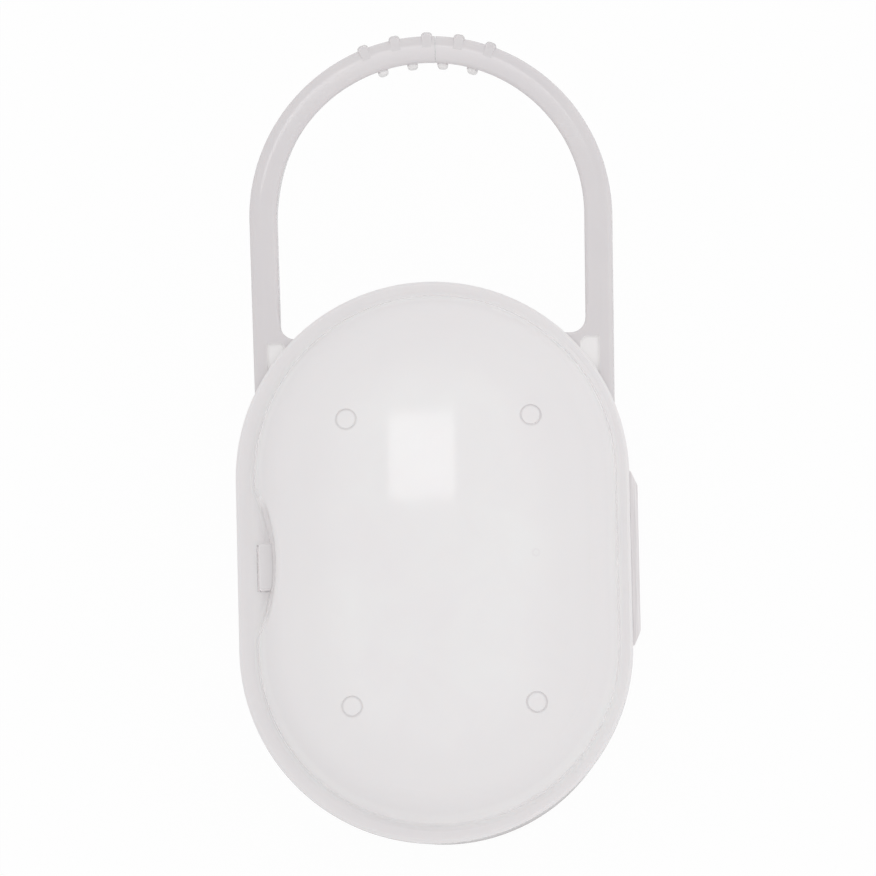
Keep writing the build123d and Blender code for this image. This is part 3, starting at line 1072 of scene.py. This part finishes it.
    def drafted(self, shape: ShapeTree, bar: Socket) -> Socket:
        """Leans the hoop's inner wall back under its top, for the mould, and fades this out to the arms.

        Args:
            shape: the tree.
            bar: the swept bar.

        Returns:
            The bar with its draft.
        """
        offset, flat, reach = self.from_centre(shape)
        outwards = shape.add("ShaderNodeVectorMath", {"operation": "NORMALIZE"}, {0: flat}).outputs[0]
        level = Field(shape.add("ShaderNodeSeparateXYZ", links={0: offset}).outputs["Z"])
        depth = level * -1.0 + self.thickness / 2 * MM
        slope = shape.input("Hoop draft", math.tan(math.radians(self.hoop_draft)))
        place = shape.add("GeometryNodeInputPosition").outputs[0]
        share = shape.add(
            "ShaderNodeMapRange",
            {
                "interpolation_type": "SMOOTHSTEP",
                "From Min": self.draft_start_y * MM,
                "From Max": self.draft_full_y * MM,
            },
            {"Value": shape.add("ShaderNodeSeparateXYZ", links={0: place}).outputs["Y"]},
        )
        inside = reach < self.middle_radius * MM
        lean = depth * slope * share.outputs["Result"] * inside
        shift = shape.add("ShaderNodeVectorMath", {"operation": "SCALE"}, {0: outwards, "Scale": lean})
        moved = shape.add("GeometryNodeSetPosition", links={"Geometry": bar, "Offset": shift.outputs[0]})
        return moved.outputs["Geometry"]

    def on_rib(self, shape: ShapeTree, way: int) -> Field:
        """Picks the ribs' faces: those beyond the bar's side, and the level ones over its crown.

        Args:
            shape: the tree.
            way: 1 for the outer ribs, -1 for the inner ones.

        Returns:
            The faces of those ribs.
        """
        offset, _, reach = self.from_centre(shape)
        beyond = (reach - self.middle_radius * MM) * way
        aside = beyond > (self.width / 2 + 2 * self.sleeve) * MM
        apart = shape.add("ShaderNodeSeparateXYZ", links={0: offset}).outputs
        normal = shape.add("GeometryNodeInputNormal").outputs[0]
        facing = abs(Field(shape.add("ShaderNodeSeparateXYZ", links={0: normal}).outputs["Z"]))
        crown_top = (self.thickness / 2 + 1.5 * self.sleeve) * MM
        on_top = (facing > LEVEL) * (abs(Field(apart["Z"])) > crown_top) * (beyond > 0.0)
        on_hoop = Field(apart["Y"]) > self.middle_radius / 2 * MM
        return on_hoop * aside.worked("MAXIMUM", on_top)

    def on_web(self, shape: ShapeTree) -> Field:
        """Picks the floor and the walls of the upper pocket, where the foot is a thin web.

        Args:
            shape: the tree.

        Returns:
            The faces of the pocket.
        """
        place = shape.add("GeometryNodeInputPosition").outputs[0]
        apart = shape.add("ShaderNodeSeparateXYZ", links={0: place}).outputs
        x, y, z = (Field(apart[axis]) for axis in "XYZ")
        outer = self.leg_inside + self.sleeve
        upright = (z > (self.top - self.pocket_depth) * MM) * (z < (self.top - self.sleeve) * MM)
        near = y < (self.shelf_y - self.pocket_wall + self.sleeve) * MM
        return upright * near * (abs(x - self.centre_x * MM) < outer * MM)

    def half(self, side: Side) -> bpy.types.Object:
        """Makes one half of the hanger with its foot.

        Args:
            side: which half.

        Returns:
            The finished piece.
        """
        name = side.name.lower()
        shape = ShapeTree(f"hanger_half_{name}")
        helpers = [self.section(name), self.foot(side), *self.pockets(side), self.beyond_seam(side)]
        labels = ("Bar section", "Foot web", "Upper pocket", "Lower pocket", "Beyond seam")
        given = [shape.input(label, helper, "Object") for label, helper in zip(labels, helpers)]
        outline, foot, *cutters = [
            shape.add("GeometryNodeObjectInfo", links={"Object": one}).outputs["Geometry"] for one in given
        ]
        spine = shape.add("GeometryNodeMeshToCurve", links={"Mesh": shape.source.outputs["Geometry"]})
        profile = shape.add("GeometryNodeMeshToCurve", links={"Mesh": outline})
        bar = shape.add(
            "GeometryNodeCurveToMesh",
            {"Fill Caps": True},
            {"Curve": spine.outputs["Curve"], "Profile Curve": profile.outputs["Curve"]},
        )
        outer_reach = self.outer_rib_reach + self.outer_rib_proud
        outer_height = self.thickness + 2 * self.outer_rib_face_proud
        outer_rib = self.rib(shape, "Outer rib", outer_reach, self.outer_rib_width, outer_height, 1)
        inner_reach = self.inner_rib_proud + self.rib_sink
        inner_rib = self.rib(shape, "Inner rib", inner_reach, self.inner_rib_width, self.inner_rib_length, -1)
        outer_middle = self.middle_radius + self.width / 2 + self.outer_rib_proud - outer_reach / 2
        inner_middle = self.middle_radius - self.width / 2 - self.inner_rib_proud + inner_reach / 2
        kinds = (
            ("Outer rib", outer_rib, self.outer_ribs, self.outer_rib_pitch, outer_middle),
            ("Inner rib", inner_rib, self.inner_ribs, self.inner_rib_pitch, inner_middle),
        )
        rows = [self.row(shape, *kind, side) for kind in kinds]
        whole = shape.add(
            "GeometryNodeMeshBoolean",
            {"operation": "UNION", "solver": "MANIFOLD"},
            {"Mesh 2": [self.drafted(shape, bar.outputs["Mesh"]), *rows, foot]},
        )
        cut = shape.add(
            "GeometryNodeMeshBoolean",
            {"operation": "DIFFERENCE", "solver": "MANIFOLD"},
            {"Mesh 1": whole.outputs["Mesh"], "Mesh 2": cutters},
        )
        # outer ribs darker, painted shade; inner ribs and the pocket web lighter, painted light
        others = [
            (self.rib_material, self.on_rib(shape, 1)),
            (self.web_material, self.on_rib(shape, -1)),
            (self.web_material, self.on_web(shape)),
        ]
        shape.finish(cut.outputs["Mesh"], self.material, others)
        piece = shape.plain(f"hanger_half_{name}", self.line(side), self.crease)
        for helper in helpers:
            bpy.data.meshes.remove(helper.data)
        return piece


@dataclass
class HingeFilm:
    """The living hinge: a film that loops outwards from one rim to the other, with slanted ends."""

    material: bpy.types.Material
    axis_x: float = 35.95
    axis_z: float = 33.0
    rim_x: float = 34.9
    length: float = 31.3
    film: float = 0.28
    loop_radius: float = 0.65
    end_length: float = 2.6
    end_width: float = 1.2
    turns: int = 24
    leg_steps: int = 4
    crease: float = 40.0

    def line(self) -> list[Vector]:
        """Follows the middle of the film from the base's rim round to the lid's.

        Returns:
            The points of the loop.
        """
        radius = self.loop_radius - self.film / 2
        start = Vector((self.rim_x, 0, self.axis_z - radius))
        end = Vector((self.rim_x, 0, self.axis_z + radius))
        arc = [
            Vector((self.axis_x + radius * math.cos(turn), 0, self.axis_z + radius * math.sin(turn)))
            for turn in (math.radians(-90 + 180 * step / self.turns) for step in range(self.turns + 1))
        ]
        legs = self.leg_steps
        before = [start.lerp(arc[0], step / legs) for step in range(legs)]
        after = [arc[-1].lerp(end, (step + 1) / legs) for step in range(legs)]
        return before + arc + after

    def build(self) -> None:
        """Makes the film in place of the solid's living hinge."""
        shape = ShapeTree("hinge_film")
        spine = shape.add("GeometryNodeMeshToCurve", links={"Mesh": shape.source.outputs["Geometry"]})
        strip = shape.add(
            "GeometryNodeCurvePrimitiveQuadrilateral",
            links={
                "Width": shape.input("Length", self.length * MM),
                "Height": shape.input("Film", self.film * MM),
            },
        )
        swept = shape.add(
            "GeometryNodeCurveToMesh",
            {"Fill Caps": True},
            {"Curve": spine.outputs["Curve"], "Profile Curve": strip.outputs["Curve"]},
        )
        place = shape.add("GeometryNodeInputPosition").outputs[0]
        apart = shape.add("ShaderNodeSeparateXYZ", links={0: place}).outputs
        slant_x = (self.axis_x + self.loop_radius - self.end_width) * MM
        past = (Field(apart["X"]) - slant_x).worked("MAXIMUM")
        slope = shape.input("End slope", self.end_length / self.end_width)
        shift = past * slope * (Field(apart["Y"]).worked("SIGN") * -1.0)
        offset = shape.add("ShaderNodeCombineXYZ", links={"Y": shift})
        slanted = shape.add(
            "GeometryNodeSetPosition",
            links={"Geometry": swept.outputs["Mesh"], "Offset": offset.outputs["Vector"]},
        )
        shape.finish(slanted.outputs["Geometry"], self.material)
        film = shape.plain("hinge_film", self.line(), self.crease)
        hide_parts("living_hinge")
        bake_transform(film)
        LOG.info("%s bends between base and lid", film.name)


@dataclass
class CatchTongue:
    """The snap catch: the solid's own shape, with its head grown to close up to the scoop's wall and window.

    Sizes are in millimetres.
    """

    material: bpy.types.Material
    rim_bottom_z: float = 33.0
    rim_top_z: float = 34.8
    inner_from_x: float = -30.2
    middle_y: float = -0.4
    half_width: float = 4.0
    side_growth: float = 0.1
    scoop_radius: float = 33.0
    scoop_draft: float = 9.0
    scoop_gap: float = 0.04
    merge: float = 0.002
    slack: float = 0.05
    end_share: float = 0.85
    crease: float = 30.0

    def build(self) -> None:
        """Makes the tongue from a merged copy of the solid's mesh, and rides it on the catch."""
        tongue = link_object("catch_head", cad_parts["catch_tongue"].data.copy())
        work = bmesh.new()
        work.from_mesh(tongue.data)
        bmesh.ops.remove_doubles(work, verts=work.verts, dist=self.merge * MM)
        for vert in work.verts:
            x, y, z = vert.co / MM
            side = (y - self.middle_y) / self.half_width
            if z > self.rim_bottom_z + self.slack and abs(side) > self.end_share:
                vert.co.y += math.copysign(self.side_growth * MM, side)
            if z > self.rim_top_z - self.slack and x > self.inner_from_x:
                vert.co.x = max(x, self.wall_x(y, z)) * MM
        bmesh.ops.recalc_face_normals(work, faces=work.faces)
        work.to_mesh(tongue.data)
        work.free()
        tongue.data.materials.clear()
        tongue.data.materials.append(self.material)
        smooth(tongue, self.crease)
        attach(tongue, "catch")
        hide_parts("catch_tongue")
        LOG.info("%s rides on the catch", tongue.name)

    def wall_x(self, y: float, z: float) -> float:
        """Where the head's inner face runs, a hair outside the scoop's drafted wall.

        Args:
            y: along the rim, in millimetres.
            z: the level, in millimetres.

        Returns:
            The place along X, in millimetres.
        """
        radius = self.scoop_radius + (z - self.rim_top_z) * math.tan(math.radians(self.scoop_draft))
        return SCOOP_AXIS[0] + math.sqrt(radius**2 - (y - SCOOP_AXIS[1]) ** 2) - self.scoop_gap


@dataclass
class Shells:
    """The moulded shells, whose solids have their final shape and take a finish."""

    finishes: dict[str, bpy.types.Material]

    def build(self) -> None:
        """Gives each solid its material."""
        for node, material in self.finishes.items():
            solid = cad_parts[node]
            if not solid.material_slots:
                solid.data.materials.append(material)
            for slot in solid.material_slots:
                slot.material = material
            LOG.info("%s wears %s", node, material.name)


@dataclass
class Studio:
    """The white table, the soft light from all round, one softbox and the camera.

    Distances are in metres, and the camera's target is in millimetres. The camera stays near enough that the
    case isn't clipped when it is seen from another side.
    """

    paper: bpy.types.Material
    scale_mm: float = 0.1788
    frame_pixels: int = 876
    target: Point = (1.167, 22.29, 34.8)
    swing: float = 1.65
    dip: float = 6.9
    roll: float = 1.247
    distance: float = 6.0
    sensor: float = 36.0
    furthest: float = 20.0
    floor_half: float = 1.5
    floor_drop_mm: float = 0.05
    softbox_way: Point = (-0.064, 0.2235, 0.971)
    softbox_size: tuple[float, float] = (0.325, 0.183)
    softbox_distance: float = 1.6
    softbox_power: float = 0.4
    ambient: float = 0.865
    bright_way: Point = (0.86, 0.5, 0.0)
    bright_share: float = 0.1

    def build(self) -> None:
        """Makes the whole studio."""
        self.table()
        self.sky()
        self.softbox()
        self.camera()

    def table(self) -> None:
        """Lays the backdrop paper under the case."""
        half, level = self.floor_half, -self.floor_drop_mm * MM
        mesh = bpy.data.meshes.new("backdrop")
        corners = [(-half, -half, level), (half, -half, level), (half, half, level), (-half, half, level)]
        mesh.from_pydata(corners, [], [(0, 1, 2, 3)])
        mesh.materials.append(self.paper)
        link_object("backdrop", mesh)

    def sky(self) -> None:
        """Lights the case softly from all round, a little more from the side of the hinge and hanger."""
        world = bpy.context.scene.world or bpy.data.worlds.new("studio")
        bpy.context.scene.world = world
        world.use_nodes = True
        tree = world.node_tree
        background = tree.nodes["Background"]
        background.inputs["Color"].default_value = (1, 1, 1, 1)
        way = add_node(tree, "ShaderNodeTexCoord").outputs["Generated"]
        toward = tuple(Vector(self.bright_way).normalized())
        facing = add_node(tree, "ShaderNodeVectorMath", {"operation": "DOT_PRODUCT", 1: toward}, {0: way})
        level = add_node(
            tree,
            "ShaderNodeMapRange",
            {
                "From Min": -1.0,
                "From Max": 1.0,
                "To Min": self.ambient * (1 - self.bright_share),
                "To Max": self.ambient * (1 + self.bright_share),
            },
            {"Value": facing.outputs["Value"]},
        )
        tree.links.new(level.outputs["Result"], background.inputs["Strength"])

    def softbox(self) -> None:
        """Hangs the softbox that the lid mirrors as an upright rectangle."""
        light = bpy.data.lights.new("softbox", "AREA")
        light.shape = "RECTANGLE"
        light.size, light.size_y = self.softbox_size
        light.energy = self.softbox_power
        lamp = link_object("softbox", light)
        way = Vector(self.softbox_way).normalized()
        across = Vector((0, 1, 0)).cross(way).normalized()
        turn = Matrix((across, way.cross(across), way)).transposed().to_4x4()
        turn.translation = way * self.softbox_distance + Vector(self.target) * MM
        lamp.matrix_world = turn

    def camera(self) -> None:
        """Sets the camera above the case, a little from below its far end."""
        away = Vector((math.sin(math.radians(self.swing)), -math.sin(math.radians(self.dip)), 0))
        away.z = math.sqrt(1 - away.length_squared)
        roll = math.radians(self.roll)
        up = Vector((math.sin(roll), math.cos(roll), 0))
        up = (up - up.dot(away) * away).normalized()
        lens = bpy.data.cameras.new("camera")
        lens.sensor_width = self.sensor
        lens.lens = self.sensor * self.distance / (self.frame_pixels * self.scale_mm * MM)
        lens.clip_end = self.furthest
        camera = link_object("camera", lens)
        place = Matrix((up.cross(away), up, away)).transposed().to_4x4()
        place.translation = Vector(self.target) * MM + away * self.distance
        camera.matrix_world = place
        bpy.context.scene.camera = camera


def finishes() -> dict[str, bpy.types.Material]:
    """Makes the materials of every piece and of the backdrop.

    Returns:
        The materials by the name of what wears them.
    """
    # painted shade round the lid's shoulder, deepening towards its edge, with a painted lighter band at the
    # dome's foot
    shoulder = PaintedShadeAndMark(
        (0.55, 0.1, 0.0),
        30.7,
        "#f0edee",
        (
            (14.0, 0.0), (24.0, 0.6), (30.5, 0.95), (31.4, 0.4), (32.0, 0.12),
            (32.7, 0.2), (33.4, 0.55), (34.2, 0.75), (36.0, 1.0),
        ),
    )
    # painted shade on the thumb scoop's steep wall
    scoop_shares = ((32.9, 0.0), (33.1, 1.0), (34.0, 1.0), (34.4, 0.0))
    scoop_wall_shade = PaintedShadeAndMark(SCOOP_AXIS, 0.0, "#dedadb", scoop_shares, 12.0)
    gate_shares = ((0.0, 0.5), (0.3, 0.0), (0.5, 1.0), (0.7, 1.0), (0.85, 0.0))
    gate = PaintedShadeAndMark((18.5, 0.1, 0.0), 0.0, "#f3f0f1", gate_shares)
    # painted glow on the steep faces of the lid's thumb scoop round the catch
    rim = PaintedGlow((-29.9, 0.1, 37.9), (3.6, 24.0, 6.4), 0.04)
    # painted glow in the base's slot under the catch, lightening the shade there
    slot = PaintedGlow((-30.6, -0.4, 27.3), (2.4, 8.8, 11.0), 0.2, steep_only=False)
    # painted glow on the tongue's steep faces
    stem = PaintedGlow((-29.75, -0.4, 30.0), (2.7, 9.0, 17.0), 0.14)
    # no milkiness and no painted steep shade, for the lighter parts
    thin = {"milkiness": 0.0, "steep_shade_tone": 1.0}
    looks = {
        "lid": MouldedPolypropylene(
            "polypropylene_moulded_lid",
            "#f8f6f6",
            "#f5f2f3",
            rippled=False,
            shade_rings_and_marks=(shoulder, scoop_wall_shade, gate),
            glow=rim,
        ),
        # painted shade: the base is a darker copy of the lid's polypropylene, darkest on walls facing -Y
        # where the tub shows under the lid's rim
        "base": MouldedPolypropylene(
            "polypropylene_moulded_base",
            "#ece8e9",
            "#e8e4e5",
            steep_shade_tone=0.88,
            near_side_shade_tone=0.8,
            glow=slot,
        ),
        # painted light: the tongue is a lighter copy of the base's polypropylene with no painted steep shade
        "tongue": MouldedPolypropylene(
            "polypropylene_moulded_tongue", "#f0edee", "#ece9ea", glow=stem, **thin
        ),
        # painted shade: the hanger is a darker copy of the same polypropylene, standing in for less light
        # through the thick bar
        "hanger": MouldedPolypropylene("polypropylene_moulded_hanger", "#e4e0e1", "#e1dddf", steep_shade_tone=1.0),
        # painted shade: the outer ribs are darker still
        "rib": MouldedPolypropylene("polypropylene_thick_rib", "#dcd8d9", "#d8d4d6", steep_shade_tone=0.97),
        # painted light: the pocket web and the inner ribs are a lighter copy with no painted steep shade
        "web": MouldedPolypropylene("polypropylene_thin_web", "#fbf9f9", "#f9f7f7", **thin),
        "film": CreasedPolypropylene("polypropylene_living_hinge", "#e4e0e1", "#f0eced"),
        "paper": BackdropPaper("paper_matt_white", "#f3f3f3"),
    }
    return {wearer: look.material() for wearer, look in looks.items()}


def main() -> None:
    """Builds the case's looks and the studio, in order."""
    logging.basicConfig(level=logging.INFO, format="%(message)s")
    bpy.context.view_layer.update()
    worn = finishes()
    Shells({"lid_shell": worn["lid"], "base_shell": worn["base"]}).build()
    CatchTongue(worn["tongue"]).build()
    Hanger(worn["hanger"], worn["rib"], worn["web"]).build()
    HingeFilm(worn["film"]).build()
    Studio(worn["paper"]).build()
    bpy.context.scene.view_settings.view_transform = "Standard"


if __name__ == "__main__":
    main()
